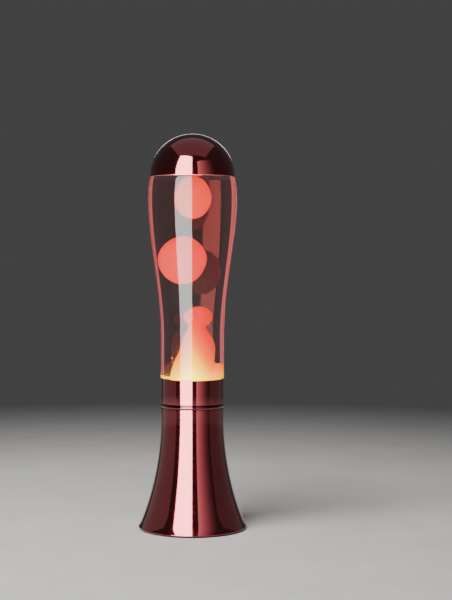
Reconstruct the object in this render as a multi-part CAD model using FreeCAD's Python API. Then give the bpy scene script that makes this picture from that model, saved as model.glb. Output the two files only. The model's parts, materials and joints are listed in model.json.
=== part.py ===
"""Lava lamp: a flared metal base with a reflector bulb, a glass bottle of liquid and wax, and a domed cap.

Millimetres, +Z up, origin on the table at the middle of the foot. Every piece is written to parts/NAME.step.
"""

import FreeCAD
import Part

import math
import os

# Driving dimensions
LAMP_HEIGHT = 400.0
BASE_RIM_R = 55.0  # outside of the rolled edge at the foot
NECK_R = 31.7  # outside of the base's neck and of the collar
GLASS_FOOT_R = 32.1  # straight lower part of the bottle
GLASS_BELLY_R = 45.4  # widest part of the bottle
CAP_R = 43.5  # outside of the domed cap
SHEET = 1.0  # spun metal of base and collar
CAP_SHEET = 0.8
GLASS_WALL = 2.2

# Levels, from the table up
RIM_Z = 1.2  # the feet hold the metal rim this far off the table
PLATE_Z = 4.0  # underside of the bottom plate
PLATE_TOP_Z = PLATE_Z + SHEET
NECK_TOP_Z = 122.4
BEAD_TOP_Z = 125.8
COLLAR_Z = 126.9
COLLAR_TOP_Z = 151.6
SEAT_Z = 134.2  # what the bottle stands on
STEP_Z = COLLAR_TOP_Z + 0.3  # the bottle widens here, just clear of the collar
BELLY_Z = 330.0
CAP_Z = LAMP_HEIGHT - CAP_R  # centre of the dome
NECK_FINISH_Z = 393.0  # top of the glass
FILL_Z = 366.0  # surface of the liquid

# Flare of the base: poles of its outer outline, from the neck down to the rolled edge
EDGE_R = 0.75
EDGE_CENTRE = (BASE_RIM_R - EDGE_R, RIM_Z + EDGE_R)
EDGE_RISE = math.sqrt(EDGE_R**2 - (SHEET / 2) ** 2)  # the sheet runs into the roll this far above its centre
FLARE_END = (EDGE_CENTRE[0] + SHEET / 2, EDGE_CENTRE[1] + EDGE_RISE)
FLARE = [(NECK_R, 112.0), (NECK_R, 71.0), (41.6, 31.0), FLARE_END]

# Bulb and lampholder
THREAD_PITCH = 2.822
THREAD_DEPTH = 0.38
THREAD_TURNS = 5
THREAD_Z = 56.0
BULB_THREAD_R = 6.5  # middle of the wave
HOLDER_THREAD_R = 6.75
BULB_R = 19.5
LIGHT_OPENING_R = 20.4  # the bulb lifts out through it
BULB_TIP_Z = 51.5
BULB_TOP_Z = 118.5
BRACKET_TOP_Z = 26.0
BRACKET_SHEET = 1.2
NIPPLE_R = 5.0
NIPPLE_BORE_R = 3.6

# Cable bush in the back of the base
BUSH_AT = 0.85  # how far down the flare it sits, as the curve's parameter
BUSH_BORE_R = 3.2
BUSH_NECK_R = 4.6
BUSH_OUTSIDE = 2.2
BUSH_INSIDE = 3.4

# Small fixings
SCREW_R = 1.5
SCREW_HEAD_R = 2.8
SCREW_CIRCLE_R = 42.0
SCREW_ANGLES = (-90.0, 30.0, 150.0)
PLATE_R = 52.2
FOOT_CIRCLE_R = 44.0
FOOT_ANGLES = (45.0, 135.0, 225.0, 315.0)
FOOT_R = 5.0
VENT_ANGLES = (50.0, 90.0, 130.0, 230.0, 270.0, 310.0)
RIVET_X = 25.0

# Wax. The column leans, so each of its round sections has its own middle
POOL_Z = 149.5
COLUMN = [  # height, middle's x, radius
    (146.0, 0.3, 18.0),
    (152.0, 0.3, 17.2),
    (160.0, 0.1, 16.5),
    (170.0, 1.7, 15.2),
    (182.0, 4.0, 13.4),
    (192.0, 4.2, 11.5),
    (200.0, 3.6, 8.3),
    (206.0, 3.4, 7.0),
]
COLUMN_HEAD = (4.5, 0.0, 215.2)
COLUMN_HEAD_SIZE = (11.2, 10.7)  # half width, half height
LOBE = (18.3, 4.0, 155.0)
LOBE_R = 12.3
UPPER_BLOB = (0.5, 0.0, 334.4)
UPPER_BLOB_SIZE = (14.2, 20.6)  # half width, half height
UPPER_DRIFT = (-8.0, 6.0)  # how far the blob goes down and up
MIDDLE_BLOB = (-7.9, 0.0, 272.9)
MIDDLE_BLOB_SIZE = (18.5, 24.3)
MIDDLE_DRIFT = (-14.0, 8.0)
BLOB_GAP = 0.3  # the liquid's hollow stands off the moving wax by this
DROPLETS = [  # place and radius
    (-16.6, -6.0, 173.0, 1.1),
    (-16.9, -8.0, 169.2, 0.6),
    (-12.6, -9.0, 180.0, 0.5),
    (-9.0, -17.0, 184.0, 0.6),
    (14.0, -14.0, 208.0, 0.8),
]

V = FreeCAD.Vector
ORIGIN = V(0, 0, 0)
UP = V(0, 0, 1)


def edges_of(start, *steps):
    """Edges in the XZ plane, by steps: ("line", point, ...), ("arc", middle, end) or ("curve", pole, ..., end)."""
    here = start
    edges = []
    for kind, *points in steps:
        places = [V(r, 0, z) for r, z in (here, *points)]
        if kind == "line":
            edges += [Part.LineSegment(a, b).toShape() for a, b in zip(places, places[1:])]
        elif kind == "arc":
            edges.append(Part.Arc(*places).toShape())
        else:
            curve = Part.BezierCurve()
            curve.setPoles(places)
            edges.append(curve.toShape())
        here = points[-1]
    if here != start:
        edges.append(Part.LineSegment(V(here[0], 0, here[1]), V(start[0], 0, start[1])).toShape())
    return edges


def sweep(centre, radius, start, end):
    """Step for a circular arc about a centre, between two angles in degrees, as drawn in (radius, height)."""
    angles = [math.radians(a) for a in ((start + end) / 2, end)]
    middle, last = [(centre[0] + radius * math.cos(a), centre[1] + radius * math.sin(a)) for a in angles]
    return "arc", middle, last


def outward(shape):
    """The shape with its faces turned outward, so that its volume is positive."""
    if shape.Volume < 0:
        shape.reverse()
    return shape


def lathe(start, *steps):
    """Solid turned about the Z axis from a closed outline of (radius, height) points."""
    face = Part.Face(Part.Wire(edges_of(start, *steps)))
    return outward(face.revolve(ORIGIN, UP, 360))


def disc(radius, low, high, x=0.0, y=0.0):
    return Part.makeCylinder(radius, high - low, V(x, y, low))


def tube(inner, outer, low, high):
    return disc(outer, low, high).cut(disc(inner, low, high))


def block(x, y, z):
    """Box from three (low, high) pairs."""
    return Part.makeBox(x[1] - x[0], y[1] - y[0], z[1] - z[0], V(x[0], y[0], z[0]))


def turned(shape, angle):
    """A copy turned about the Z axis."""
    copy = shape.copy()
    copy.rotate(ORIGIN, UP, angle)
    return copy


def moved(shape, x=0.0, y=0.0, z=0.0):
    copy = shape.copy()
    copy.translate(V(x, y, z))
    return copy


def on_circle(shape, radius, angles):
    """Copies of a shape made at the origin, set out on a circle, each in its own direction."""
    return [turned(moved(shape, x=radius), angle) for angle in angles]


def stretched(shape, half_width, half_height, centre):
    """A shape of unit radius at the origin, stretched to a half width and half height and set at its centre."""
    matrix = FreeCAD.Matrix()
    matrix.scale(half_width, half_width, half_height)
    return moved(shape.transformGeometry(matrix), *centre)


def thread_wave(middle, low):
    """Rounded thread outline as steps going up from (middle, low): a bulge, then a hollow, for each turn."""
    steps = []
    for half in range(2 * THREAD_TURNS):
        side = 1 if half % 2 == 0 else -1
        z = low + half * THREAD_PITCH / 2
        top = (middle + side * THREAD_DEPTH, z + THREAD_PITCH / 4)
        steps.append(("arc", top, (middle, z + THREAD_PITCH / 2)))
    return steps


def shifted(poles, inward):
    return [(r - inward, z) for r, z in poles]


# ---------------------------------------------------------------- base


def flare_inside(inset=0.0):
    """Everything inside the base's wall, from the foot to the top of the neck, or further in by inset."""
    poles = shifted(FLARE, SHEET + inset)
    return lathe(
        (0, RIM_Z),
        ("line", (poles[3][0], RIM_Z), poles[3]),
        ("curve", poles[2], poles[1], poles[0]),
        ("line", (poles[0][0], NECK_TOP_Z), (0, NECK_TOP_Z)),
    )


def bush_axis():
    """Where the cable bush's axis meets the outside of the base, and its outward direction."""
    curve = Part.BezierCurve()
    curve.setPoles([V(0, r, z) for r, z in FLARE])
    place = curve.value(BUSH_AT)
    along = curve.tangent(BUSH_AT)[0]
    return place, V(0, -along.z, along.y).normalize()


def along_bush(shape):
    """A shape made along +Z at the origin, set on the bush's axis."""
    place, outward_axis = bush_axis()
    copy = shape.copy()
    copy.Placement = FreeCAD.Placement(place, FreeCAD.Rotation(UP, outward_axis))
    return copy


def base_cone():
    """Spun shell: straight neck, long flare and a rolled edge at the foot."""
    inner = shifted(FLARE, SHEET)
    shell = lathe(
        (NECK_R, NECK_TOP_Z),
        ("line", FLARE[0]),
        ("curve", *FLARE[1:]),
        ("arc", (EDGE_CENTRE[0], RIM_Z), inner[3]),
        ("curve", inner[2], inner[1], inner[0]),
        ("line", (NECK_R - SHEET, NECK_TOP_Z)),
    )
    hole = along_bush(disc(BUSH_NECK_R + 0.1, -BUSH_INSIDE, BUSH_OUTSIDE))
    return shell.cut(hole)


def coupler_ring():
    """Ring between neck and collar: two spigots, a round bead and the dark groove above it."""
    spigot = NECK_R - SHEET - 0.05
    return lathe(
        (29.4, 112.0),
        ("line", (spigot, 112.0), (spigot, NECK_TOP_Z), (31.3, NECK_TOP_Z)),
        ("arc", (32.1, (NECK_TOP_Z + BEAD_TOP_Z) / 2), (31.3, BEAD_TOP_Z)),
        ("line", (30.9, BEAD_TOP_Z), (30.9, COLLAR_Z), (spigot, COLLAR_Z), (spigot, 133.0), (29.4, 133.0)),
    )


def collar():
    """Plain drawn sleeve round the bottle's foot, with both edges eased."""
    inner = NECK_R - SHEET
    ease = 0.3
    return lathe(
        (inner, COLLAR_Z),
        ("line", (NECK_R - ease, COLLAR_Z)),
        sweep((NECK_R - ease, COLLAR_Z + ease), ease, -90, 0),
        ("line", (NECK_R, COLLAR_TOP_Z - ease)),
        sweep((NECK_R - ease, COLLAR_TOP_Z - ease), ease, 0, 90),
        ("line", (inner, COLLAR_TOP_Z)),
    )


def bottle_seat():
    """Flanged ring on the coupler that carries the bottle, with a turned-down lip round the light opening."""
    thick = 1.2
    bend = 1.0
    lip = LIGHT_OPENING_R + thick
    centre = (lip + bend, SEAT_Z - thick - bend)
    return lathe(
        (LIGHT_OPENING_R, 128.0),
        ("line", (lip, 128.0), (lip, centre[1])),
        sweep(centre, bend, 180, 90),
        ("line", (30.6, SEAT_Z - thick), (30.6, SEAT_Z), (centre[0], SEAT_Z)),
        sweep(centre, bend + thick, 90, 180),
    )


def bottom_plate():
    """Disc that closes the foot, with vent slots and the holes of its screws and rivets."""
    plate = disc(PLATE_R, PLATE_Z, PLATE_TOP_Z)
    slot = block((21.0, 35.0), (-1.75, 1.75), (PLATE_Z, PLATE_TOP_Z))
    for x in (21.0, 35.0):
        slot = slot.fuse(disc(1.75, PLATE_Z, PLATE_TOP_Z, x))
    cuts = [turned(slot, angle) for angle in VENT_ANGLES]
    cuts += on_circle(disc(SCREW_R + 0.2, PLATE_Z, PLATE_TOP_Z), SCREW_CIRCLE_R, SCREW_ANGLES)
    cuts += [disc(SCREW_R + 0.1, PLATE_Z, PLATE_TOP_Z, x) for x in (-RIVET_X, RIVET_X)]
    return plate.cut(Part.makeCompound(cuts))


def rubber_feet():
    ease = 0.9
    foot = lathe(
        (0, 0),
        ("line", (FOOT_R - ease, 0)),
        sweep((FOOT_R - ease, ease), ease, -90, 0),
        ("line", (FOOT_R, PLATE_Z), (0, PLATE_Z)),
    )
    return on_circle(foot, FOOT_CIRCLE_R, FOOT_ANGLES)


def fixing_lugs():
    """Angle tabs welded inside the flare, tapped for the plate's screws."""
    thick = 1.2
    tab = block((37.0, 51.0), (-4.5, 4.5), (PLATE_TOP_Z, PLATE_TOP_Z + thick))
    upright = block((44.0, 52.0), (-4.5, 4.5), (PLATE_TOP_Z, 17.0)).cut(flare_inside(thick + 0.1))
    lug = tab.fuse(upright).common(flare_inside(0.1))
    lug = lug.cut(disc(SCREW_R, PLATE_TOP_Z, PLATE_TOP_Z + thick, SCREW_CIRCLE_R))
    return [turned(lug.removeSplitter(), angle) for angle in SCREW_ANGLES]


def plate_screws():
    """Pan-head screws with a cross recess, driven up through the plate."""
    head_z = PLATE_Z - 1.9
    screw = lathe(
        (0, head_z),
        ("line", (1.6, head_z)),
        ("arc", (2.5, head_z + 0.35), (SCREW_HEAD_R, head_z + 1.1)),
        ("line", (SCREW_HEAD_R, PLATE_Z), (SCREW_R - 0.05, PLATE_Z), (SCREW_R - 0.05, 9.0)),
        ("line", (SCREW_R - 0.5, 9.6), (0, 9.6)),
    )
    for x, y in ((1.5, 0.3), (0.3, 1.5)):
        screw = screw.cut(block((-x, x), (-y, y), (head_z, head_z + 1.0)))
    return on_circle(screw, SCREW_CIRCLE_R, SCREW_ANGLES)


def lampholder_bracket():
    """Hat-shaped strip that stands on the plate and carries the lampholder."""
    half = BRACKET_SHEET / 2
    low = PLATE_TOP_Z + half
    high = BRACKET_TOP_Z - half
    outline = [(-30.0, low), (-18.6, low), (-18.6, high), (18.6, high), (18.6, low), (30.0, low)]
    line = Part.makePolygon([V(x, -9.0, z) for x, z in outline])
    strip = Part.Face(line.makeOffset2D(half)).extrude(V(0, 18.0, 0))
    strip = strip.cut(disc(NIPPLE_R + 0.1, BRACKET_TOP_Z - 2, BRACKET_TOP_Z + 1))
    for x in (-RIVET_X, RIVET_X):
        strip = strip.cut(disc(SCREW_R + 0.1, PLATE_TOP_Z - 1, PLATE_TOP_Z + 2, x))
    return outward(strip)


def bracket_rivets():
    """Rivets through the plate and the bracket's feet, domed at both ends."""
    top = PLATE_TOP_Z + BRACKET_SHEET
    rivet = lathe(
        (0, PLATE_Z - 1.2),
        ("curve", (1.8, PLATE_Z - 1.2), (2.6, PLATE_Z - 0.9), (2.6, PLATE_Z)),
        ("line", (SCREW_R, PLATE_Z), (SCREW_R, top), (2.6, top)),
        ("curve", (2.6, top + 0.9), (1.8, top + 1.2), (0, top + 1.2)),
    )
    return [moved(rivet, x=x) for x in (-RIVET_X, RIVET_X)]


def cable_bush():
    """Rubber bush that lines the cable hole, its flanges shaped to the flared wall."""
    bush = lathe(
        (BUSH_BORE_R, -BUSH_INSIDE),
        ("line", (5.0, -BUSH_INSIDE), (5.8, -BUSH_INSIDE + 0.8), (5.8, -1.5)),
        ("line", (BUSH_NECK_R, -1.5), (BUSH_NECK_R, 0), (6.2, 0), (6.2, BUSH_OUTSIDE - 1.2)),
        sweep((5.0, BUSH_OUTSIDE - 1.2), 1.2, 0, 90),
        ("line", (BUSH_BORE_R, BUSH_OUTSIDE)),
    )
    return along_bush(bush).cut(base_cone())


def lampholder_body():
    """Moulded cup: wiring chamber below, socket above."""
    return lathe(
        (NIPPLE_R, BRACKET_TOP_Z),
        ("line", (10.4, BRACKET_TOP_Z)),
        sweep((10.4, BRACKET_TOP_Z + 2.2), 2.2, -90, 0),
        ("line", (12.6, 46.0), (13.6, 47.0), (13.6, 50.0), (12.2, 51.0), (12.2, 70.4)),
        sweep((11.6, 70.4), 0.6, 0, 90),
        ("line", (8.3, 71.0), (8.3, 49.0), (2.2, 49.0), (2.2, 46.0), (10.6, 46.0), (10.6, 30.0)),
        ("line", (NIPPLE_R, 30.0)),
    )


def lampholder_shell():
    """Threaded brass contact sleeve inside the socket."""
    top = THREAD_Z + THREAD_TURNS * THREAD_PITCH
    return lathe(
        (8.2, 49.1),
        ("line", (8.2, top + 0.4), (HOLDER_THREAD_R, top + 0.4), (HOLDER_THREAD_R, top)),
        *descending(thread_wave(HOLDER_THREAD_R, THREAD_Z), (HOLDER_THREAD_R, THREAD_Z)),
        ("line", (7.4, THREAD_Z), (7.4, 49.1)),
    )


def descending(steps, last):
    """The same arcs taken from the top down to the point they started at."""
    ends = [last] + [end for _, _, end in steps]
    return [("arc", steps[i][1], ends[i]) for i in reversed(range(len(steps)))]


def centre_contact():
    """Brass tongue that meets the bulb's tip, with its stem through the socket's floor."""
    leaf = block((-5.0, 5.0), (-2.0, 2.0), (49.0, 49.6))
    stem = lathe(
        (0, 40.0),
        ("line", (1.2, 40.0), (1.2, 49.3), (1.6, 49.3), (1.6, 50.4)),
        sweep((0.8, 50.4), 0.8, 0, 90),
        ("line", (0, 51.2)),
    )
    return leaf.fuse(stem)


def terminal_screws():
    screw = lathe((0, 43.0), ("line", (2.5, 43.0), (2.5, 44.6), (1.3, 44.6), (1.3, 46.0), (0, 46.0)))
    screw = screw.cut(block((-2.6, 2.6), (-0.35, 0.35), (43.0, 43.7)))
    return [moved(screw, x=x) for x in (-6.8, 6.8)]


def threaded_nipple():
    """Hollow threaded tube that clamps the lampholder to its bracket and lets the wires through."""
    return tube(NIPPLE_BORE_R, NIPPLE_R, 20.2, 30.0)


def nipple_nut():
    across_flats = 14.0
    low, high = 21.4, BRACKET_TOP_Z - BRACKET_SHEET
    corner = across_flats / 2 / math.cos(math.radians(30))
    angles = [math.radians(60 * i) for i in range(7)]
    corners = [V(corner * math.cos(a), corner * math.sin(a), low) for a in angles]
    hexagon = Part.Face(Part.makePolygon(corners)).extrude(V(0, 0, high - low))
    chamfer = lathe(
        (0, low),
        ("line", (across_flats / 2, low), (corner + 0.2, low + 0.8), (corner + 0.2, high), (0, high)),
    )
    return outward(hexagon.common(chamfer).cut(disc(NIPPLE_R, low, high)))


# ---------------------------------------------------------------- bulb


def bulb_envelope():
    """Blown reflector bulb: narrow neck, bowl and shallow domed front, closed all round."""
    wall = 0.8
    neck = 5.6
    outer = lathe(
        (0, 70.3),
        ("line", (neck, 70.3), (neck, 76.2), (6.9, 76.4), (7.4, 79.0)),
        ("curve", (8.4, 89.0), (17.6, 89.0), (BULB_R, 104.0)),
        ("curve", (BULB_R + 0.3, 107.5), (17.0, 112.0), (14.0, 114.0)),
        ("curve", (9.5, 117.0), (4.0, BULB_TOP_Z), (0, BULB_TOP_Z)),
    )
    inner = lathe(
        (0, 70.3 + wall),
        ("line", (neck - wall, 70.3 + wall), (neck - wall, 77.0), (7.4 - wall, 79.6)),
        ("curve", (7.8, 89.6), (16.8, 89.8), (BULB_R - wall, 104.2)),
        ("curve", (BULB_R - wall + 0.2, 107.2), (16.4, 111.2), (13.5, 113.3)),
        ("curve", (9.2, 116.2), (4.0, BULB_TOP_Z - wall), (0, BULB_TOP_Z - wall)),
    )
    return outer.cut(inner)


def bulb_screw_cap():
    """Rolled brass screw cap with a plain skirt."""
    top = THREAD_Z + THREAD_TURNS * THREAD_PITCH
    bore = 5.7
    return lathe(
        (bore, THREAD_Z),
        ("line", (BULB_THREAD_R, THREAD_Z)),
        *thread_wave(BULB_THREAD_R, THREAD_Z),
        ("line", (BULB_THREAD_R, top + 1.2), (6.9, top + 1.8), (6.9, 76.0), (bore, 76.0)),
    )


def bulb_insulator():
    return lathe((0, 52.7), ("line", (2.7, 52.7), (5.6, THREAD_Z), (5.6, 57.5), (0, 57.5)))


def bulb_tip():
    return lathe((0, BULB_TIP_Z), ("arc", (1.6, 51.85), (2.6, 52.7)), ("line", (0, 52.7)))


def bulb_stem():
    """Glass stem that holds the filament's wires inside the envelope."""
    base = 71.1
    return lathe(
        (0, base),
        ("line", (4.6, base), (4.6, base + 0.9)),
        ("curve", (2.4, base + 2.0), (1.8, base + 6.0), (1.8, base + 10.0)),
        ("line", (1.8, 90.0), (0, 90.0)),
    )


def support_wires():
    wires = []
    for side in (-1, 1):
        start, end = V(side * 0.9, 0, 90.0), V(side * 4.0, 0, 97.0)
        wire = Part.makeCylinder(0.25, (end - start).Length, start, end - start)
        wires.append(wire.cut(bulb_stem()))
    return wires


def filament():
    """Envelope of the fine coiled wire between the two supports."""
    return Part.makeCylinder(0.5, 9.0, V(-4.5, 0, 97.7), V(1, 0, 0))


# ---------------------------------------------------------------- bottle


def bottle_outside():
    """Outer form of the bottle: stepped foot, straight lower wall, belly, shoulder and neck."""
    foot = GLASS_FOOT_R
    return lathe(
        (0, 137.2),
        ("curve", (12.0, 137.2), (19.0, 136.8), (24.0, SEAT_Z)),
        ("line", (27.0, SEAT_Z)),
        sweep((27.0, SEAT_Z + 2.8), 2.8, -90, 0),
        ("line", (29.8, STEP_Z - 0.6)),
        sweep((30.4, STEP_Z - 0.6), 0.6, 180, 90),
        ("line", (foot - 0.8, STEP_Z)),
        sweep((foot - 0.8, STEP_Z + 0.8), 0.8, -90, 0),
        ("line", (foot, 195.0)),
        ("curve", (foot, 237.0), (GLASS_BELLY_R - 0.6, 284.0), (GLASS_BELLY_R, BELLY_Z)),
        ("curve", (GLASS_BELLY_R + 0.15, 340.0), (GLASS_BELLY_R - 0.3, 349.0), (43.6, 354.4)),
        ("curve", (42.4, 357.6), (38.0, 360.5), (30.0, 363.5)),
        ("curve", (20.0, 367.2), (13.2, 369.0), (13.2, 378.0)),
        ("line", (13.2, 387.6)),
        ("arc", (13.75, 389.0), (13.2, 390.4)),
        ("line", (13.2, NECK_FINISH_Z - 1.4)),
        sweep((11.8, NECK_FINISH_Z - 1.4), 1.4, 0, 90),
        ("line", (0, NECK_FINISH_Z)),
    )


def bottle_inside(top):
    """The bottle's hollow up to a level in the neck."""
    foot = GLASS_FOOT_R - GLASS_WALL
    belly = GLASS_BELLY_R - GLASS_WALL
    bore = 8.2
    return lathe(
        (0, 140.0),
        ("curve", (12.0, 140.0), (19.0, 139.6), (23.5, 138.6)),
        ("curve", (26.0, 138.2), (27.4, 139.6), (27.4, 142.0)),
        ("line", (27.4, 150.0)),
        ("curve", (27.4, 154.0), (foot, 153.0), (foot, 158.0)),
        ("line", (foot, 195.0)),
        ("curve", (foot, 237.5), (belly - 0.6, 284.5), (belly, BELLY_Z)),
        ("curve", (belly + 0.15, 339.5), (belly - 0.3, 347.6), (41.6, 352.4)),
        ("curve", (40.6, 355.2), (36.8, 358.0), (29.0, 361.0)),
        ("curve", (18.5, 365.0), (bore, 366.5), (bore, 377.0)),
        ("line", (bore, top), (0, top)),
    )


def glass_bottle():
    return bottle_outside().cut(bottle_inside(NECK_FINISH_Z + 1.0))


def crown_liner():
    return disc(12.4, NECK_FINISH_Z, NECK_FINISH_Z + 0.6)


def crown_cap():
    """Crimped steel closure with 21 flutes round its skirt."""
    low = NECK_FINISH_Z - 5.6
    top = NECK_FINISH_Z + 0.6
    cap = lathe(
        (0, top),
        ("line", (12.6, top), (12.6, NECK_FINISH_Z)),
        ("arc", (13.9, NECK_FINISH_Z - 0.9), (14.2, NECK_FINISH_Z - 2.2)),
        ("line", (14.9, low), (15.9, low), (14.9, NECK_FINISH_Z - 2.2)),
        ("arc", (14.5, NECK_FINISH_Z), (13.2, top + 0.4)),
        ("line", (0, top + 0.4)),
    )
    axis = V(0.9, 0, -(NECK_FINISH_Z - 2.2 - low))
    notch = Part.makeCylinder(0.85, 5.2, V(15.35, 0, NECK_FINISH_Z - 1.9), axis)
    return cap.cut(Part.makeCompound([turned(notch, i * 360.0 / 21) for i in range(21)]))


def coil_ring():
    """Outer shape of the steel coil that lies on the bottle's floor under the wax."""
    return Part.makeTorus(20.0, 1.8, V(0, 0, 142.6))


def droplets():
    return [Part.makeSphere(r, V(x, y, z)) for x, y, z, r in DROPLETS]


def wax_mound():
    """Wax at the foot: a pool, the rising column with its round head, and a low lobe against the wall."""
    pool = disc(GLASS_FOOT_R, 138.0, POOL_Z)
    rings = [Part.Wire(Part.makeCircle(r, V(x, 0, z))) for z, x, r in COLUMN]
    column = outward(Part.makeLoft(rings, True))
    head = wax_blob(COLUMN_HEAD, COLUMN_HEAD_SIZE)
    wax = pool.fuse([column, head, Part.makeSphere(LOBE_R, V(*LOBE))]).common(bottle_inside(FILL_Z))
    return wax.cut(coil_ring())


def wax_blob(centre, size):
    return stretched(Part.makeSphere(1.0), *size, centre)


def blob_room(centre, size, drift):
    """The room that a blob takes up over its whole drift, with a gap all round."""
    half_width, half_height = (length + BLOB_GAP for length in size)
    low, high = (shift / half_height for shift in drift)
    room = lathe(
        (0, low - 1.0),
        sweep((0, low), 1.0, -90, 0),
        ("line", (1.0, high)),
        sweep((0, high), 1.0, 0, 90),
    )
    return stretched(room, half_width, half_height, centre)


def fill_liquid():
    """The liquid round the wax, with a hollow for each loose blob as long as the blob's drift."""
    liquid = bottle_inside(NECK_FINISH_Z).common(disc(60.0, 130.0, FILL_Z))
    liquid = liquid.cut(wax_mound()).cut(coil_ring())
    liquid = liquid.cut(blob_room(UPPER_BLOB, UPPER_BLOB_SIZE, UPPER_DRIFT))
    liquid = liquid.cut(blob_room(MIDDLE_BLOB, MIDDLE_BLOB_SIZE, MIDDLE_DRIFT))
    return liquid.cut(Part.makeCompound(droplets()))


# ---------------------------------------------------------------- cap


def dome_cap():
    """Half-ball of spun metal with a short straight rim."""
    inner = CAP_R - CAP_SHEET
    edge = CAP_SHEET / 2
    return lathe(
        (CAP_R, CAP_Z),
        sweep((0, CAP_Z), CAP_R, 0, 90),
        ("line", (0, CAP_Z + inner)),
        sweep((0, CAP_Z), inner, 90, 0),
        sweep((inner + edge, CAP_Z), edge, 180, 360),
    )


def centring_ring():
    """Soft ring glued in the dome that slips over the bottle's closure."""
    ring = tube(16.2, 34.0, 384.0, 391.0)
    return ring.common(Part.makeSphere(CAP_R - CAP_SHEET, V(0, 0, CAP_Z)))


PARTS = {
    "base_cone": base_cone,
    "coupler_ring": coupler_ring,
    "collar": collar,
    "bottle_seat": bottle_seat,
    "bottom_plate": bottom_plate,
    "rubber_feet": rubber_feet,
    "fixing_lugs": fixing_lugs,
    "plate_screws": plate_screws,
    "lampholder_bracket": lampholder_bracket,
    "bracket_rivets": bracket_rivets,
    "cable_bush": cable_bush,
    "lampholder_body": lampholder_body,
    "lampholder_shell": lampholder_shell,
    "centre_contact": centre_contact,
    "terminal_screws": terminal_screws,
    "threaded_nipple": threaded_nipple,
    "nipple_nut": nipple_nut,
    "bulb_envelope": bulb_envelope,
    "bulb_screw_cap": bulb_screw_cap,
    "bulb_insulator": bulb_insulator,
    "bulb_tip": bulb_tip,
    "bulb_stem": bulb_stem,
    "support_wires": support_wires,
    "filament": filament,
    "glass_bottle": glass_bottle,
    "crown_cap": crown_cap,
    "crown_liner": crown_liner,
    "fill_liquid": fill_liquid,
    "wax_mound": wax_mound,
    "wax_droplets": droplets,
    "coil_ring": coil_ring,
    "wax_blob_upper": lambda: wax_blob(UPPER_BLOB, UPPER_BLOB_SIZE),
    "wax_blob_middle": lambda: wax_blob(MIDDLE_BLOB, MIDDLE_BLOB_SIZE),
    "dome_cap": dome_cap,
    "centring_ring": centring_ring,
}


def main():
    os.makedirs("parts", exist_ok=True)
    for name, make in PARTS.items():
        made = make()
        solids = made if isinstance(made, list) else made.Solids
        shape = solids[0] if len(solids) == 1 else Part.makeCompound(solids)
        assert shape.isValid() and all(s.Volume > 0 for s in solids), name
        shape.exportStep(f"parts/{name}.step")
        print(f"{name}: {len(solids)} solid(s), {shape.Volume:.1f} mm3")


main()
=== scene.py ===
import json
import math

import bmesh
import bpy
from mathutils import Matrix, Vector, noise

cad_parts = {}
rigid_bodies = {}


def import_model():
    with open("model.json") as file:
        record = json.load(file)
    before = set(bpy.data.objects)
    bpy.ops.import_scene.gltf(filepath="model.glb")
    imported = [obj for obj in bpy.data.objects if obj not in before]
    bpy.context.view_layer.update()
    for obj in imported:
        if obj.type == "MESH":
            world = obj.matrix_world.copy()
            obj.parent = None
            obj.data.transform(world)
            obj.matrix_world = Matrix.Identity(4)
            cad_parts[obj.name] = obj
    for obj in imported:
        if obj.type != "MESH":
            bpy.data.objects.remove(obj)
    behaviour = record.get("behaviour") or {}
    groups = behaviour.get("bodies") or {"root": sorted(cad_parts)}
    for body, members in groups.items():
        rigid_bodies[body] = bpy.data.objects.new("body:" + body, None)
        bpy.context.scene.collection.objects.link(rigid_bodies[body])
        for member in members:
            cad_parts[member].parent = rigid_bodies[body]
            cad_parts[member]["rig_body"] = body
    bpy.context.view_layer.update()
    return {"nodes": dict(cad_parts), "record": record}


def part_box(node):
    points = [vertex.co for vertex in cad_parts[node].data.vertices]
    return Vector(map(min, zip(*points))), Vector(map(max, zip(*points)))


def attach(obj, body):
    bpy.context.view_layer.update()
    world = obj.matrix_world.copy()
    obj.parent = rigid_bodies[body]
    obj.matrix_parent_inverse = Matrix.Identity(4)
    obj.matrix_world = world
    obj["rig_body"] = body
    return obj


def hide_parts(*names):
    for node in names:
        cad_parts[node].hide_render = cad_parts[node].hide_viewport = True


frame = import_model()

NODES = frame["nodes"]
MOUNTS = {m["name"]: m for m in frame["record"]["mounts"]}
MM = 0.001

# Camera: level, a little above the lamp's middle, with the lamp left of the picture's centre
CAMERA_AWAY = 1.416
CAMERA_UP = 0.283
LENS = 83.5  # on a 36 mm long side
SHIFT = (0.056, -0.085)

# Levels read from the frame
COLLAR_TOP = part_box("collar")[1].z
LIQUID_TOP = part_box("fill_liquid")[1].z
WAX_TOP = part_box("wax_mound")[1].z

TURN_STEPS = 192
CORNER = math.radians(22)  # an outline that turns by more than this at a point has a corner there
STRAIGHT = math.radians(0.15)  # and by less than this it is straight there
ON_PLANE = 5e-7  # how near to a cutting plane or the axis counts as on it, in metres


# ---------------------------------------------------------------- outlines of turned parts


def section(node, angle=0.0):
    """Chains of (radius, height) points where a CAD node meets the half-plane at an angle about the axis."""
    along = Vector((math.cos(angle), math.sin(angle), 0.0))
    across = Vector((-along.y, along.x, 0.0))
    bm = bmesh.new()
    bm.from_mesh(NODES[node].data)
    bmesh.ops.remove_doubles(bm, verts=bm.verts, dist=1e-7)
    for normal in (along, across):
        parts = bm.verts[:] + bm.edges[:] + bm.faces[:]
        made = bmesh.ops.bisect_plane(bm, geom=parts, dist=ON_PLANE, plane_co=(0, 0, 0), plane_no=normal)
        cut = made["geom_cut"]
    edges = [e for e in cut if isinstance(e, bmesh.types.BMEdge)]
    places = {v: max(v.co.dot(along), 0.0) for e in edges for v in e.verts if v.co.dot(along) > -ON_PLANE}
    edges = [e for e in edges if all(v in places for v in e.verts)]
    edges = [e for e in edges if max(places[v] for v in e.verts) > ON_PLANE]
    chains = [[Vector((places[v], v.co.z)) for v in walk] for walk in walks(edges)]
    bm.free()
    return [tidied(chain) for chain in chains]


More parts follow.
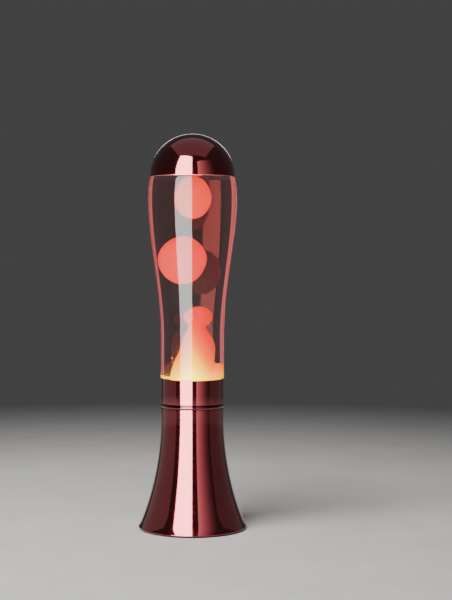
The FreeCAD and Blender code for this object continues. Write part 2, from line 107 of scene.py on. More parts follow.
def walks(edges):
    """Runs of vertices along joined edges. A run that has free ends goes from one to the other."""
    beside = {}
    for edge in edges:
        for vert in edge.verts:
            beside.setdefault(vert, []).append(edge)
    left = set(edges)
    starts = [v for v in beside if len(beside[v]) == 1] + list(beside)
    for start in starts:
        run = [start]
        onward = [e for e in beside[start] if e in left]
        while onward:
            left.remove(onward[0])
            run.append(onward[0].other_vert(run[-1]))
            onward = [e for e in beside[run[-1]] if e in left]
        if len(run) > 1:
            yield run


def tidied(chain):
    """The chain without repeated points and without points on a straight run."""
    points = [chain[0]]
    for point in chain[1:]:
        if (point - points[-1]).length > 2e-6:
            points.append(point)
    closed = (points[0] - points[-1]).length < 5e-6
    if closed:
        points.pop()
    last = len(points) - 1
    kept = []
    for i, point in enumerate(points):
        if (not closed and i in (0, last)) or abs(turn_at(points, i)) > STRAIGHT:
            kept.append(point)
    return {"points": kept, "closed": closed}


def turn_at(points, i):
    """The angle by which a ring of points turns at one of them."""
    before = points[i] - points[i - 1]
    after = points[(i + 1) % len(points)] - points[i]
    return before.angle_signed(after)


def smoothed(chain, spacing, ease):
    """The outline with its curved runs filled in at a spacing and its corners eased to a small radius.

    Returns the points and, for each, whether it is a sharp corner."""
    points, closed = chain["points"], chain["closed"]
    count = len(points)
    ends = {0, count - 1} if not closed else set()
    corner = [i in ends or abs(turn_at(points, i)) > CORNER for i in range(count)]
    spans = count if closed else count - 1
    lengths = [(points[(i + 1) % count] - points[i]).length for i in range(spans)]
    straight = [is_straight(lengths, corner, i, closed) for i in range(spans)]
    made = []
    for i in range(spans):
        j = (i + 1) % count
        a, b = points[i], points[j]
        chord = (b - a).normalized()
        start = chord if corner[i] or straight[i] else tangent(points, lengths, straight, i)
        end = chord if corner[j] or straight[i] else tangent(points, lengths, straight, j)
        made.append(("corner" if corner[i] and i not in ends else "point", a))
        steps = 1 if straight[i] or (corner[i] and corner[j]) else max(1, round(lengths[i] / spacing))
        for k in range(1, steps):
            made.append(("point", hermite(a, b, start, end, lengths[i], k / steps)))
    if not closed:
        made.append(("point", points[-1]))
    return eased(made, closed, ease)


def is_straight(lengths, corner, i, closed):
    """A run much longer than one beside it is a straight line, not part of a curve."""
    count = len(corner)
    j = (i + 1) % count
    if corner[i] and corner[j]:
        return True
    beside = []
    if not corner[i]:
        beside.append(lengths[i - 1])
    if not corner[j]:
        beside.append(lengths[j % len(lengths)])
    return any(lengths[i] > 2.5 * near for near in beside)


def tangent(points, lengths, straight, i):
    """Direction of the outline at a point that is no corner."""
    count = len(points)
    before = (points[i] - points[i - 1]).normalized()
    after = (points[(i + 1) % count] - points[i]).normalized()
    if straight[i - 1]:
        return before
    if straight[i % len(straight)]:
        return after
    near, far = lengths[i - 1], lengths[i % len(lengths)]
    return (before * far + after * near).normalized()


def hermite(a, b, start, end, length, t):
    """A point at share t of the curve from a to b that leaves and arrives in the given directions."""
    t2, t3 = t * t, t * t * t
    return (
        a * (2 * t3 - 3 * t2 + 1)
        + start * length * (t3 - 2 * t2 + t)
        + b * (3 * t2 - 2 * t3)
        + end * length * (t3 - t2)
    )


def eased(made, closed, ease):
    """Each corner replaced by a short round."""
    out = []
    count = len(made)
    for i, (kind, point) in enumerate(made):
        if kind != "corner" or (not closed and i in (0, count - 1)):
            out.append(point)
            continue
        before, after = made[i - 1][1], made[(i + 1) % count][1]
        back, on = before - point, after - point
        cut = min(ease, 0.45 * back.length, 0.45 * on.length)
        a, b = point + back.normalized() * cut, point + on.normalized() * cut
        for t in (0.0, 0.33, 0.67, 1.0):
            out.append(a * (1 - t) ** 2 + point * 2 * t * (1 - t) + b * t * t)
    return out


def turned_mesh(name, outlines, steps=TURN_STEPS, shape=None):
    """Mesh turned from outlines of (radius, height) points. shape may change a radius by (r, z, angle)."""
    bm = bmesh.new()
    for points, closed in outlines:
        rings = []
        for point in points:
            if point.x < 1e-6:
                rings.append([bm.verts.new((0, 0, point.y))])
                continue
            ring = []
            for s in range(steps):
                angle = 2 * math.pi * s / steps
                radius = shape(point.x, point.y, angle) if shape else point.x
                ring.append(bm.verts.new((radius * math.cos(angle), radius * math.sin(angle), point.y)))
            rings.append(ring)
        pairs = list(zip(rings, rings[1:]))
        if closed:
            pairs.append((rings[-1], rings[0]))
        for low, high in pairs:
            for s in range(steps):
                t = (s + 1) % steps
                corners = [low[s % len(low)], low[t % len(low)], high[t % len(high)], high[s % len(high)]]
                distinct = list(dict.fromkeys(corners))
                if len(distinct) > 2:
                    bm.faces.new(distinct)
    bmesh.ops.recalc_face_normals(bm, faces=bm.faces)
    return mesh_from(bm, name)


def mesh_from(bm, name):
    for face in bm.faces:
        face.smooth = True
    mesh = bpy.data.meshes.new(name)
    bm.to_mesh(mesh)
    bm.free()
    return mesh


def object_from(mesh):
    piece = bpy.data.objects.new(mesh.name, mesh)
    bpy.context.scene.collection.objects.link(piece)
    return piece


def placed(piece, node, material):
    """The piece finished, riding with the body of the CAD node that it stands for."""
    piece.data.materials.clear()
    piece.data.materials.append(material)
    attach(piece, NODES[node]["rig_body"])
    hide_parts(node)
    return piece


def turned_piece(name, node, material, spacing=0.8, ease=0.15, angle=0.0, shape=None, steps=TURN_STEPS):
    """A smooth, finely turned copy of a CAD node, with its edges eased."""
    chains = section(node, angle)
    outlines = [(smoothed(c, spacing * MM, ease * MM), c["closed"]) for c in chains]
    piece = object_from(turned_mesh(name, outlines, steps, shape))
    return placed(piece, node, material)


# ---------------------------------------------------------------- materials


def maths(tree, operation, *values):
    """The output of a math node. Each value is a number or another node's output."""
    node = tree.nodes.new("ShaderNodeMath")
    node.operation = operation
    for socket, value in zip(node.inputs, values):
        if isinstance(value, bpy.types.NodeSocket):
            tree.links.new(value, socket)
        else:
            socket.default_value = value
    return node.outputs[0]


class Surface:
    """A material round one Principled shader, with procedural detail in object space."""

    def __init__(self, name, colour, roughness, metallic=0.0, **constants):
        self.material = bpy.data.materials.new(name)
        self.material.use_nodes = True
        self.tree = self.material.node_tree
        self.shader = self.tree.nodes["Principled BSDF"]
        self.place = self.tree.nodes.new("ShaderNodeTexCoord").outputs["Object"]
        self.set("Base Color", (*colour, 1.0))
        self.set("Roughness", roughness)
        self.set("Metallic", metallic)
        for key, value in constants.items():
            self.set(key.replace("_", " "), value)

    def set(self, socket, value):
        self.shader.inputs[socket].default_value = value

    def link(self, output, socket):
        self.tree.links.new(output, socket)

    def noise(self, scale, detail=3.0, stretch=None):
        """Noise of a scale in features per metre, stretched along the axes if asked."""
        texture = self.tree.nodes.new("ShaderNodeTexNoise")
        texture.inputs["Scale"].default_value = scale
        texture.inputs["Detail"].default_value = detail
        source = self.place
        if stretch:
            mapping = self.tree.nodes.new("ShaderNodeMapping")
            mapping.inputs["Scale"].default_value = stretch
            self.link(source, mapping.inputs["Vector"])
            source = mapping.outputs["Vector"]
        self.link(source, texture.inputs["Vector"])
        return texture.outputs["Fac"]

    def ranged(self, value, low, high, start=0.3, end=0.7):
        """A texture's value, spread from start..end to low..high."""
        node = self.tree.nodes.new("ShaderNodeMapRange")
        node.inputs["From Min"].default_value = start
        node.inputs["From Max"].default_value = end
        node.inputs["To Min"].default_value = low
        node.inputs["To Max"].default_value = high
        self.link(value, node.inputs["Value"])
        return node.outputs["Result"]

    def ramp(self, value, stops):
        """Colours at stops of a value from 0 to 1."""
        node = self.tree.nodes.new("ShaderNodeValToRGB")
        elements = node.color_ramp.elements
        for i, (spot, colour) in enumerate(stops):
            element = elements[i] if i < 2 else elements.new(spot)
            element.position = spot
            element.color = (*colour, 1.0)
        self.link(value, node.inputs["Fac"])
        return node.outputs["Color"]

    def along(self, axis):
        """The place along an axis, X, Y or Z, in metres."""
        node = self.tree.nodes.new("ShaderNodeSeparateXYZ")
        self.link(self.place, node.inputs["Vector"])
        return node.outputs[axis]

    def sum(self, value, factor, other):
        """value times a factor, plus another value."""
        return maths(self.tree, "MULTIPLY_ADD", value, factor, other)

    def mottle(self, dark, light, scale, detail=3.0, stretch=None):
        """Base colour that wanders between two colours."""
        fade = self.ranged(self.noise(scale, detail, stretch), 0.0, 1.0)
        self.link(self.ramp(fade, [(0.0, dark), (1.0, light)]), self.shader.inputs["Base Color"])
        return self

    def worn(self, low, high, scale, detail=4.0, stretch=None):
        """Roughness that wanders between two values."""
        value = self.ranged(self.noise(scale, detail, stretch), low, high)
        self.link(value, self.shader.inputs["Roughness"])
        return self

    def bump(self, value, strength, depth_mm):
        node = self.tree.nodes.new("ShaderNodeBump")
        node.inputs["Strength"].default_value = strength
        node.inputs["Distance"].default_value = depth_mm * MM
        self.link(value, node.inputs["Height"])
        self.link(node.outputs["Normal"], self.shader.inputs["Normal"])
        return self


LACQUER_DEEP = (0.35, 0.034, 0.046)
LACQUER = (0.38, 0.04, 0.052)
LACQUER_LIGHT = (0.41, 0.046, 0.058)
WIPED = (1.0, 1.0, 2.5)  # wipe marks run round the lamp


def lacquered(name):
    """Spun aluminium under a deep red mirror lacquer, with faint spin lines."""
    s = Surface(name, LACQUER, 0.07, 1.0, Coat_Weight=1.0, Coat_Roughness=0.03, Coat_IOR=1.6)
    s.bump(s.noise(900.0, 2.0, stretch=(0.02, 0.02, 1.0)), 0.02, 0.02)
    return s


def red_metal():
    """The lacquer with faint wipe marks."""
    s = lacquered("red_metal")
    s.mottle(LACQUER_DEEP, LACQUER_LIGHT, 24.0)
    s.worn(0.05, 0.10, 90.0, stretch=WIPED)
    return s.material


def dome_metal():
    """The same lacquer, with a thin pale band painted along the rim as a highlight line, where the rim is
    also rougher.
    """
    s = lacquered("dome_metal")
    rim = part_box("dome_cap")[0].z
    band = 1.1 * MM
    above = s.ranged(s.along("Z"), 0.0, 0.5, rim, rim + band)
    wander = s.sum(s.ranged(s.noise(24.0), 0.0, 1.0), 0.5, above)
    # painted highlight: pale is the colour of the thin line of light along the rim
    pale = (0.80, 0.26, 0.26)
    stops = [(0.0, pale), (0.42, pale), (0.5, LACQUER_DEEP), (1.0, LACQUER_LIGHT)]
    s.link(s.ramp(wander, stops), s.shader.inputs["Base Color"])
    rubbed = s.ranged(s.along("Z"), 0.55, 0.05, rim, rim + band)
    s.link(s.sum(s.noise(90.0, stretch=WIPED), 0.04, rubbed), s.shader.inputs["Roughness"])
    return s.material


def coupler_metal():
    """The red lacquer again, with painted shade: nearly black in the groove over the bead and in the seam
    under it.
    """
    s = Surface("coupler_metal", (0.34, 0.018, 0.03), 0.1, 1.0, Coat_Weight=1.0, Coat_Roughness=0.04)
    # dark is painted shade, for the groove over the bead and the seam under it
    dark, red = (0.008, 0.002, 0.003), (0.24, 0.018, 0.028)
    seam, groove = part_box("base_cone")[1].z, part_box("collar")[0].z
    span = groove - seam
    edge = 0.4 * MM / span
    bead_top = 1.0 - 1.1 * MM / span
    stops = [(0.0, dark), (edge, red), (bead_top - edge, red), (bead_top, dark)]
    share = s.ranged(s.along("Z"), 0.0, 1.0, seam, groove)
    s.link(s.ramp(s.sum(s.noise(160.0), 0.04, share), stops), s.shader.inputs["Base Color"])
    s.worn(0.08, 0.15, 120.0)
    return s.material


def spun_aluminium(name, colour=(0.80, 0.80, 0.81), low=0.22, high=0.38):
    s = Surface(name, colour, (low + high) / 2, 1.0)
    s.mottle([c * 0.86 for c in colour], colour, 60.0)
    grain = (1.0, 1.0, 14.0)
    s.worn(low, high, 300.0, stretch=grain)
    s.bump(s.noise(1500.0, 2.0, stretch=grain), 0.08, 0.03)
    return s.material


def zinc_steel():
    """Zinc-plated steel with its faint spangle."""
    s = Surface("zinc_steel", (0.62, 0.63, 0.65), 0.32, 1.0)
    s.mottle((0.50, 0.51, 0.54), (0.70, 0.70, 0.70), 220.0, 5.0)
    s.worn(0.24, 0.42, 500.0)
    s.bump(s.noise(1800.0), 0.08, 0.03)
    return s.material


def black_enamel():
    """Powder-coated sheet."""
    s = Surface("plate_black", (0.03, 0.03, 0.032), 0.5)
    s.mottle((0.024, 0.024, 0.026), (0.040, 0.040, 0.042), 350.0)
    s.worn(0.42, 0.58, 250.0)
    s.bump(s.noise(2600.0), 0.25, 0.05)
    return s.material


def rubber(name, colour):
    s = Surface(name, colour, 0.7, Specular_IOR_Level=0.35)
    s.mottle([c * 0.8 for c in colour], [c * 1.25 for c in colour], 180.0)
    s.worn(0.62, 0.82, 400.0)
    s.bump(s.noise(3200.0), 0.2, 0.04)
    return s.material


def moulded_plastic(name, colour, low, high):
    s = Surface(name, colour, (low + high) / 2)
    s.mottle([c * 0.85 for c in colour], [c * 1.15 for c in colour], 120.0)
    s.worn(low, high, 350.0)
    s.bump(s.noise(2400.0), 0.12, 0.03)
    return s.material


def brass():
    s = Surface("brass", (0.78, 0.58, 0.26), 0.28, 1.0)
    s.mottle((0.62, 0.44, 0.18), (0.84, 0.66, 0.32), 160.0, 5.0)
    s.worn(0.2, 0.42, 420.0)
    s.bump(s.noise(1600.0), 0.06, 0.03)
    return s.material


WETTED = (0.08, 0.08, 0.08, 1.0)  # a wall with liquid on one side and glass on the other hardly reflects


def bottle_glass(name, reflects=(1.0, 1.0, 1.0, 1.0)):
    """Clear moulded glass: not quite true, so that reflections bend a little."""
    s = Surface(name, (1.0, 1.0, 1.0), 0.0, Transmission_Weight=1.0, IOR=1.5, Specular_Tint=reflects)
    s.worn(0.0, 0.012, 30.0)
    s.bump(s.noise(22.0, 1.0), 0.03, 0.4)
    return s.material


def liquid():
    """Clear liquid with a rose tint."""
    s = Surface("liquid", (1.0, 0.96, 0.95), 0.0, Transmission_Weight=1.0, IOR=1.33, Specular_Tint=WETTED)
    s.mottle((1.0, 0.95, 0.94), (1.0, 0.97, 0.96), 20.0)
    tint = s.tree.nodes.new("ShaderNodeVolumeAbsorption")
    tint.inputs["Color"].default_value = (0.965, 0.30, 0.26, 1.0)
    tint.inputs["Density"].default_value = 11.0
    s.link(tint.outputs["Volume"], s.tree.nodes["Material Output"].inputs["Volume"])
    return s.material


CORAL = (0.32, 0.03, 0.019)


def wax_surface(name, skin, glow, strength, low, high, lean=(0.0, 0.0)):
    """Wax with the bulb's light from below painted in. Its colour and painted glow change with height.

    lean is how much sooner they change at its left and right sides, as a height in metres."""
    s = Surface(name, CORAL, 0.45, Specular_IOR_Level=0.2, Emission_Strength=strength)
    s.worn(0.38, 0.52, 60.0)
    left = s.ranged(s.along("X"), 1.0, 0.0, -20 * MM, 0.0)
    right = s.ranged(s.along("X"), 0.0, 1.0, 0.0, 18 * MM)
    raised = s.sum(right, lean[1], s.sum(left, lean[0], s.along("Z")))
    share = s.ranged(raised, 0.0, 1.0, low, high)
    cloudy = s.sum(s.ranged(s.noise(28.0, 2.0), -0.5, 0.5, 0.0, 1.0), 0.06, share)
    # Painted light: both ramps paint the bulb's light through the wax, the colour on the skin and the glow as
    # emission.
    s.link(s.ramp(cloudy, skin), s.shader.inputs["Base Color"])
    s.link(s.ramp(cloudy, glow), s.shader.inputs["Emission Color"])
    s.bump(s.noise(70.0, 1.0), 0.1, 0.4)
    return s.material


def mound_wax():
    """Painted light of the bulb below, in colour and glow: from pale yellow over the bulb through orange to
    coral at the head.
    """
    skin = [(0.0, (0.90, 0.60, 0.05)), (0.24, (0.80, 0.32, 0.03)), (0.50, (0.64, 0.09, 0.035)), (1.0, CORAL)]
    glow = [
        (0.0, (1.0, 0.90, 0.0)),
        (0.16, (0.84, 0.72, 0.0)),
        (0.28, (0.60, 0.44, 0.0)),
        (0.39, (0.50, 0.26, 0.0)),
        (0.50, (0.46, 0.12, 0.0)),
        (0.61, (0.40, 0.042, 0.004)),
        (0.80, (0.32, 0.013, 0.009)),
    ]
    return wax_surface("mound_wax", skin, glow, 4.0, COLLAR_TOP - 2 * MM, WAX_TOP, (22 * MM, 28 * MM))


def blob_wax(name, node, warmth):
    """Wax that floats: an even coral, a little deeper at the top, with painted light of the bulb below that
    makes its glow a little brighter at the bottom. warmth is its green against its red.
    """
    low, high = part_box(node)
    skin = [(0.0, (0.36, 0.045, 0.028)), (1.0, CORAL)]
    glow = [(0.0, (1.0, warmth * 1.15, 0.040)), (1.0, (0.95, warmth * 0.9, 0.034))]
    return wax_surface(name, skin, glow, 1.5, low.z, high.z)


def bulb_glass():
    """Reflector bulb: silvered bowl, frosted glowing front."""
    low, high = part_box("bulb_envelope")
    shoulder = low.z + 0.74 * (high.z - low.z)
    s = Surface("bulb_glass", (0.9, 0.9, 0.9), 0.2, 1.0, Emission_Strength=3.0)
    front = s.ranged(s.along("Z"), 0.0, 1.0, shoulder, shoulder + 2 * MM)
    back = s.ranged(s.along("Z"), 1.0, 0.0, shoulder, shoulder + 2 * MM)
    s.link(back, s.shader.inputs["Metallic"])
    s.link(s.ramp(front, [(0.0, (0.86, 0.86, 0.87)), (1.0, (0.95, 0.9, 0.8))]), s.shader.inputs["Base Color"])
    s.link(s.ramp(front, [(0.0, (0, 0, 0)), (1.0, (1.0, 0.72, 0.4))]), s.shader.inputs["Emission Color"])
    s.worn(0.15, 0.3, 120.0)
    s.bump(s.noise(900.0), 0.06, 0.03)
    return s.material


def clear_glass(name):
    s = Surface(name, (1.0, 1.0, 1.0), 0.0, Transmission_Weight=1.0, IOR=1.5)
    s.worn(0.0, 0.02, 80.0)
    return s.material


# ---------------------------------------------------------------- base


def build_base(gold):
    """Shell, coupler, collar, seat, lampholder and underside. gold is the brass that the bulb shares."""
    metal = red_metal()
    shell = turned_piece("base_shell", "base_cone", metal, spacing=1.2)
    cut_cable_hole(shell)
    turned_piece("coupler", "coupler_ring", coupler_metal(), spacing=0.3)
    turned_piece("collar_sleeve", "collar", metal, spacing=0.5)
    turned_piece("seat_ring", "bottle_seat", spun_aluminium("seat_metal"), spacing=0.4)
    black = moulded_plastic("holder_plastic", (0.05, 0.048, 0.045), 0.35, 0.5)
    turned_piece("holder_cup", "lampholder_body", black, spacing=0.5)
    turned_piece("holder_sleeve", "lampholder_shell", gold, spacing=0.3, ease=0.05)
    dress(("centre_contact",), gold)
    dress(("bottom_plate",), black_enamel())
    dress(("rubber_feet", "cable_bush"), rubber("rubber_black", (0.025, 0.025, 0.025)))
    steel_parts = (
        "fixing_lugs",
        "plate_screws",
        "lampholder_bracket",
        "bracket_rivets",
        "terminal_screws",
        "threaded_nipple",
        "nipple_nut",
    )
    dress(steel_parts, zinc_steel())


def dress(nodes, material):
    """CAD nodes that stay get a finished material."""
    for node in nodes:
        NODES[node].data.materials.clear()
        NODES[node].data.materials.append(material)


def cut_cable_hole(shell):
    """Opens the shell where the cable bush sits."""
    mount = MOUNTS["cord_outlet"]
    axis = Vector(mount["axis"])
    radius = 4.65 * MM
    depth = 12 * MM
    bm = bmesh.new()
    bmesh.ops.create_cone(bm, cap_ends=True, segments=48, radius1=radius, radius2=radius, depth=depth)
    cutter = object_from(mesh_from(bm, "cutter"))
    cutter.rotation_mode = "QUATERNION"
    cutter.rotation_quaternion = axis.to_track_quat("Z", "Y")
    cutter.location = mount["pos_m"]
    hole = shell.modifiers.new("cable_hole", "BOOLEAN")
    hole.object = cutter
    hole.operation = "DIFFERENCE"
    hole.solver = "EXACT"
    apply_modifiers(shell)
    bpy.data.objects.remove(cutter)


def apply_modifiers(piece):
    bpy.context.view_layer.update()
    graph = bpy.context.evaluated_depsgraph_get()
    made = bpy.data.meshes.new_from_object(piece.evaluated_get(graph))
    old = piece.data
    made.name = old.name
    piece.modifiers.clear()
    piece.data = made
    bpy.data.meshes.remove(old)


# ---------------------------------------------------------------- bulb


def build_bulb(gold):
    turned_piece("bulb_bowl", "bulb_envelope", bulb_glass(), spacing=0.8, ease=0.1)
    turned_piece("bulb_cap_shell", "bulb_screw_cap", gold, spacing=0.3, ease=0.05)
    dress(("bulb_stem",), clear_glass("stem_glass"))
    dress(("bulb_tip",), spun_aluminium("solder", (0.62, 0.62, 0.6), 0.35, 0.55))
    black = moulded_plastic("insulator_black", (0.02, 0.02, 0.025), 0.08, 0.2)
    dress(("bulb_insulator",), black)
    tungsten = spun_aluminium("tungsten", (0.34, 0.33, 0.32), 0.3, 0.5)
    dress(("support_wires",), tungsten)
    low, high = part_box("filament")
    middle = (low + high) / 2
    wire = 0.09 * MM
    radius = (high.z - low.z) / 2 - wire
    ends = [Vector((x, 0, middle.z)) for x in (low.x, high.x)]
    coil = helix("filament_coil", *ends, radius, turns=26, wire=wire)
    placed(coil, "filament", tungsten)


def helix(name, start, end, radius, turns, wire):
    """A wire coiled about a straight line along X."""
    steps = turns * 12
    points = []
    for i in range(steps + 1):
        angle = 2 * math.pi * turns * i / steps
        spot = start.lerp(end, i / steps)
        points.append(spot + Vector((0, math.cos(angle), math.sin(angle))) * radius)
    return wire_piece(name, points, wire, cyclic=False)


def wire_piece(name, points, radius, cyclic):
    curve = bpy.data.curves.new(name, "CURVE")
    curve.dimensions = "3D"
    curve.bevel_depth = radius
    curve.bevel_resolution = 2
    curve.use_fill_caps = True
    spline = curve.splines.new("POLY")
    spline.points.add(len(points) - 1)
    for target, point in zip(spline.points, points):
        target.co = (*point, 1.0)
    spline.use_cyclic_u = cyclic
    piece = bpy.data.objects.new(name, curve)
    bpy.context.scene.collection.objects.link(piece)
    return piece


# ---------------------------------------------------------------- bottle


def build_bottle():
    dry = bottle_glass("bottle_glass")
    bottle = turned_piece("bottle", "glass_bottle", dry, spacing=1.5, ease=0.3)
    wet_inside(bottle)
    build_liquid()
    build_wax()
    build_coil()
    build_crown()
    dress(("crown_liner",), moulded_plastic("liner", (0.85, 0.85, 0.82), 0.4, 0.55))


def wet_inside(bottle):
    """Gives the faces that look into the bottle's hollow the material of wetted glass."""
    bottle.data.materials.append(bottle_glass("wetted_glass", WETTED))
    low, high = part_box("fill_liquid")
    margin = 12 * MM
    for face in bottle.data.polygons:
        height = min(max(face.center.z, low.z + margin), high.z - margin)
        if face.normal.dot(Vector((0, 0, height)) - face.center) > 0:
            face.material_index = 1


def inner_wall():
    """Outline of the bottle's hollow, from the axis at its floor to the liquid's surface."""
    chain = section("glass_bottle")[0]
    points = chain["points"]
    if points[0].y > points[-1].y:
        points = points[::-1]
    rim = max(range(len(points)), key=lambda i: points[i].y)
    inside = points[rim:][::-1]
    return smoothed({"points": inside, "closed": False}, 1.5 * MM, 0.0)


def build_liquid():
    """The liquid's body, a hair into the glass so that no gap shows, with a meniscus at its surface."""
    overlap = 0.12 * MM
    meniscus = 0.5 * MM
    below = [p for p in inner_wall() if p.y < LIQUID_TOP - meniscus]
    outline = []
    for i, point in enumerate(below):
        before, after = below[max(i - 1, 0)], below[min(i + 1, len(below) - 1)]
        along = (after - before).normalized()
        outline.append(point + Vector((along.y, -along.x)) * overlap)
    outline[0].x = 0.0
    wall = outline[-1].x
    outline.append(Vector((wall, LIQUID_TOP)))
    outline.append(Vector((wall - 1.2 * MM, LIQUID_TOP - meniscus)))
    outline.append(Vector((0.0, LIQUID_TOP - meniscus)))
    piece = object_from(turned_mesh("liquid_body", [(outline, False)], 256))
    placed(piece, "fill_liquid", liquid())


def soft_copy(name, node, voxel_mm, passes, wobble_mm, size_mm):
    """A CAD wax body rebuilt as one flowing form: remeshed, relaxed, and swelled a little unevenly."""
    bm = bmesh.new()
    bm.from_mesh(NODES[node].data)
    bmesh.ops.remove_doubles(bm, verts=bm.verts, dist=1e-6)
    piece = object_from(mesh_from(bm, name))
    remesh = piece.modifiers.new("remesh", "REMESH")
    remesh.mode = "VOXEL"
    remesh.voxel_size = voxel_mm * MM
    relax = piece.modifiers.new("relax", "SMOOTH")
    relax.factor = 0.5
    relax.iterations = passes
    apply_modifiers(piece)
    normals = [v.normal.copy() for v in piece.data.vertices]
    for vertex, normal in zip(piece.data.vertices, normals):
        vertex.co += normal * noise.noise(vertex.co / (size_mm * MM)) * wobble_mm * MM
    for polygon in piece.data.polygons:
        polygon.use_smooth = True
    return piece


def build_wax():
    mound = soft_copy("wax_column", "wax_mound", voxel_mm=0.9, passes=14, wobble_mm=0.5, size_mm=12.0)
    placed(mound, "wax_mound", mound_wax())
    floating = (("blob_upper", "wax_blob_upper", 0.7, 0.070), ("blob_middle", "wax_blob_middle", 0.9, 0.046))
    for name, node, wobble, warmth in floating:
        blob = soft_copy(name, node, voxel_mm=1.0, passes=6, wobble_mm=wobble, size_mm=22.0)
        placed(blob, node, blob_wax(name + "_wax", node, warmth))
    beads = soft_copy("wax_beads", "wax_droplets", voxel_mm=0.18, passes=1, wobble_mm=0.06, size_mm=2.0)
    placed(beads, "wax_droplets", blob_wax("bead_wax", "wax_droplets", 0.06))


def build_coil():
    """Fine steel wire wound into a ring on the bottle's floor."""
    low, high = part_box("coil_ring")
    thick = (high.z - low.z) / 2
    wire = 0.35 * MM
    ring, wind = high.x - thick, thick - wire
    turns, steps = 76, 12
    points = []
    for i in range(turns * steps):
        round_ring = 2 * math.pi * i / (turns * steps)
        winding = 2 * math.pi * i / steps
        radius = ring + wind * math.cos(winding)
        height = (low.z + high.z) / 2 + wind * math.sin(winding)
        points.append(Vector((radius * math.cos(round_ring), radius * math.sin(round_ring), height)))
    coil = wire_piece("wire_coil", points, wire, cyclic=True)
    placed(coil, "coil_ring", spun_aluminium("coil_steel", (0.55, 0.55, 0.56), 0.25, 0.45))


def build_crown():
    """Crimped closure: its skirt runs out into 21 flutes."""
    low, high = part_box("crown_cap")
    flutes = 21
    depth = 0.55 * MM
    flutes_start = high.z - 2.2 * MM
    flutes_deepen_over = 3.6 * MM
    inside = high.x * 0.85

    def fluted(radius, height, angle):
        if radius < inside:
            return radius
        share = min(max((flutes_start - height) / flutes_deepen_over, 0.0), 1.0)
        return radius - depth * share * (1 + math.cos(flutes * angle)) / 2

    steel = spun_aluminium("closure_steel", (0.78, 0.78, 0.8), 0.14, 0.28)
    half_flute = math.pi / flutes
    turned_piece(
        "crown",
        "crown_cap",
        steel,
        spacing=0.4,
        ease=0.08,
        angle=half_flute,
        shape=fluted,
        steps=16 * flutes,
    )


# ---------------------------------------------------------------- cap


def build_cap():
    turned_piece("dome", "dome_cap", dome_metal(), spacing=1.0, ease=0.3, steps=256)
    turned_piece("cap_ring", "centring_ring", rubber("soft_ring", (0.3, 0.3, 0.3)), ease=0.5)


# ---------------------------------------------------------------- studio


WHITE = (1.0, 1.0, 1.0)
ON_SURFACES = ("diffuse", "glossy")
GLOSSY = ("glossy",)
THROUGH_GLASS = ("transmission",)
METAL_PIECES = ("base_shell", "coupler", "collar_sleeve", "dome")
PINK = (1.0, 0.72, 0.76)
SALMON = (1.0, 0.45, 0.42)
ROSE = (1.0, 0.22, 0.24)
KEY_AZIMUTH = -22.3
KEY_AWAY = 0.45
KEY_SPAN = (0.005, 0.94)
SIDE_CARD_AWAY = 0.6
EDGE_CARD_SPAN = (0.05, 0.50)
COLOURED_CARD_AWAY = 0.8


def softbox(name, place, aim, size, strength, rays, colour=WHITE, on=None, off=None):
    """A softbox of a radiance, which faces a point. rays says in which kinds of ray it shows.

    on names the only pieces that it lights, and off the pieces that it leaves alone."""
    light = bpy.data.lights.new(name, "AREA")
    light.shape = "RECTANGLE"
    light.size, light.size_y = size
    light.energy = strength * math.pi * light.size * light.size_y
    light.color = colour
    lamp = bpy.data.objects.new(name, light)
    lamp.location = place
    lamp.rotation_mode = "QUATERNION"
    lamp.rotation_quaternion = (Vector(aim) - lamp.location).to_track_quat("-Z", "Y")
    lamp.visible_camera = False
    lamp.visible_diffuse = "diffuse" in rays
    lamp.visible_glossy = "glossy" in rays
    lamp.visible_transmission = "transmission" in rays
    bpy.context.scene.collection.objects.link(lamp)
    if on or off:
        lit = bpy.data.collections.new(name + "_lit")
        for piece in on or off:
            lit.objects.link(bpy.data.objects[piece])
        for entry in lit.collection_objects:
            entry.light_linking.link_state = "INCLUDE" if on else "EXCLUDE"
        lamp.light_linking.receiver_collection = lit
    return light


def area_light(name, azimuth, span, width, away, strength, rays, colour=WHITE, on=None, off=None):
    """A tall softbox that faces the lamp's axis. Azimuth 0 is at the camera's side, and 90 at the right.

    span is its lowest and highest point."""
    turn = math.radians(azimuth)
    low, high = span
    middle = (low + high) / 2
    place = (away * math.sin(turn), -away * math.cos(turn), middle)
    return softbox(name, place, (0, 0, middle), (width, high - low), strength, rays, colour, on, off)


def fade_across(light, power, least):
    """Makes a softbox fade from full strength at its left edge, as the lamp's front sees it, to its least."""
    light.use_nodes = True
    tree = light.node_tree
    split = tree.nodes.new("ShaderNodeSeparateXYZ")
    tree.links.new(tree.nodes.new("ShaderNodeNewGeometry").outputs["Parametric"], split.inputs["Vector"])
    fading = maths(tree, "SUBTRACT", 1.0, split.outputs["X"])
    curve = maths(tree, "POWER", fading, power)
    raised = maths(tree, "ADD", curve, least)
    tree.links.new(raised, tree.nodes["Emission"].inputs["Strength"])


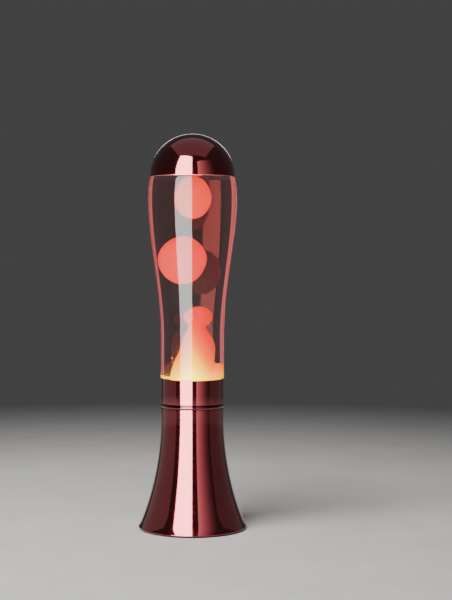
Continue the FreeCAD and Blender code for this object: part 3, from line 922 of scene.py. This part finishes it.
def build_lights():
    """Key and fill, dim cards at the sides and behind, softboxes overhead, and red cards for the glass."""
    area_light("key_softbox", KEY_AZIMUTH, KEY_SPAN, 0.35, KEY_AWAY, 15.0, ON_SURFACES, off=("floor",))
    area_light("glass_key", KEY_AZIMUTH, KEY_SPAN, 0.33, KEY_AWAY, 46.0, GLOSSY, on=("bottle",))
    fill = area_light("fill_softbox", 35.5, (0.0, 0.72), 0.354, KEY_AWAY, 1.5, GLOSSY, PINK, METAL_PIECES)
    fade_across(fill, 1.8, 0.033)
    area_light("left_card", -98.0, (0.0, 0.33), 0.9, SIDE_CARD_AWAY, 0.19, GLOSSY, on=METAL_PIECES)
    area_light("right_card", 98.0, (0.0, 0.30), 0.8, SIDE_CARD_AWAY, 0.08, GLOSSY, on=METAL_PIECES)
    area_light("rim_strip", 178.3, (0.50, 0.66), 0.46, 0.9, 1.6, GLOSSY, on=METAL_PIECES)
    foot = (0, 0, 0)
    softbox("overhead_softbox", (0.0, 0.0, 1.3), foot, (1.3, 1.3), 0.22, ON_SURFACES)
    softbox("floor_softbox", (-0.45, -0.55, 1.2), foot, (0.7, 0.7), 15.0, ("diffuse",), on=("floor",))
    area_light("panel_card", -27.5, (0.0, 0.94), 0.34, COLOURED_CARD_AWAY, 6.5, THROUGH_GLASS, SALMON)
    for side, azimuth in (("left", -121.0), ("right", 118.0)):
        name = "edge_card_" + side
        area_light(name, azimuth, EDGE_CARD_SPAN, 0.70, COLOURED_CARD_AWAY, 0.80, THROUGH_GLASS, ROSE)


def floor_surface():
    """Pale matt floor that fades into the dark backdrop away from the lamp."""
    s = Surface("floor", (0.70, 0.69, 0.67), 0.75, Specular_IOR_Level=0.2)
    s.mottle((0.66, 0.65, 0.63), (0.72, 0.71, 0.69), 14.0)
    distance = s.tree.nodes.new("ShaderNodeVectorMath")
    distance.operation = "LENGTH"
    s.link(s.place, distance.inputs[0])
    fade = s.ranged(distance.outputs["Value"], 1.0, 0.0, 0.42, 1.15)
    s.link(fade, s.shader.inputs["Alpha"])
    return s.material


def build_stage():
    bm = bmesh.new()
    bmesh.ops.create_circle(bm, cap_ends=True, segments=128, radius=6.0)
    floor = object_from(mesh_from(bm, "floor"))
    floor.data.materials.append(floor_surface())
    world = bpy.data.worlds.new("studio")
    world.use_nodes = True
    world.node_tree.nodes["Background"].inputs["Color"].default_value = (0.062, 0.061, 0.063, 1.0)
    bpy.context.scene.world = world


def build_camera():
    camera = bpy.data.objects.new("camera", bpy.data.cameras.new("camera"))
    camera.location = (0.0, -CAMERA_AWAY, CAMERA_UP)
    camera.rotation_euler = (math.radians(90), 0.0, 0.0)
    camera.data.lens = LENS
    camera.data.sensor_width = 36.0
    camera.data.shift_x, camera.data.shift_y = SHIFT
    bpy.context.scene.collection.objects.link(camera)
    bpy.context.scene.camera = camera


build_camera()
brass_metal = brass()
build_base(brass_metal)
build_bulb(brass_metal)
build_bottle()
build_cap()
build_stage()
build_lights()
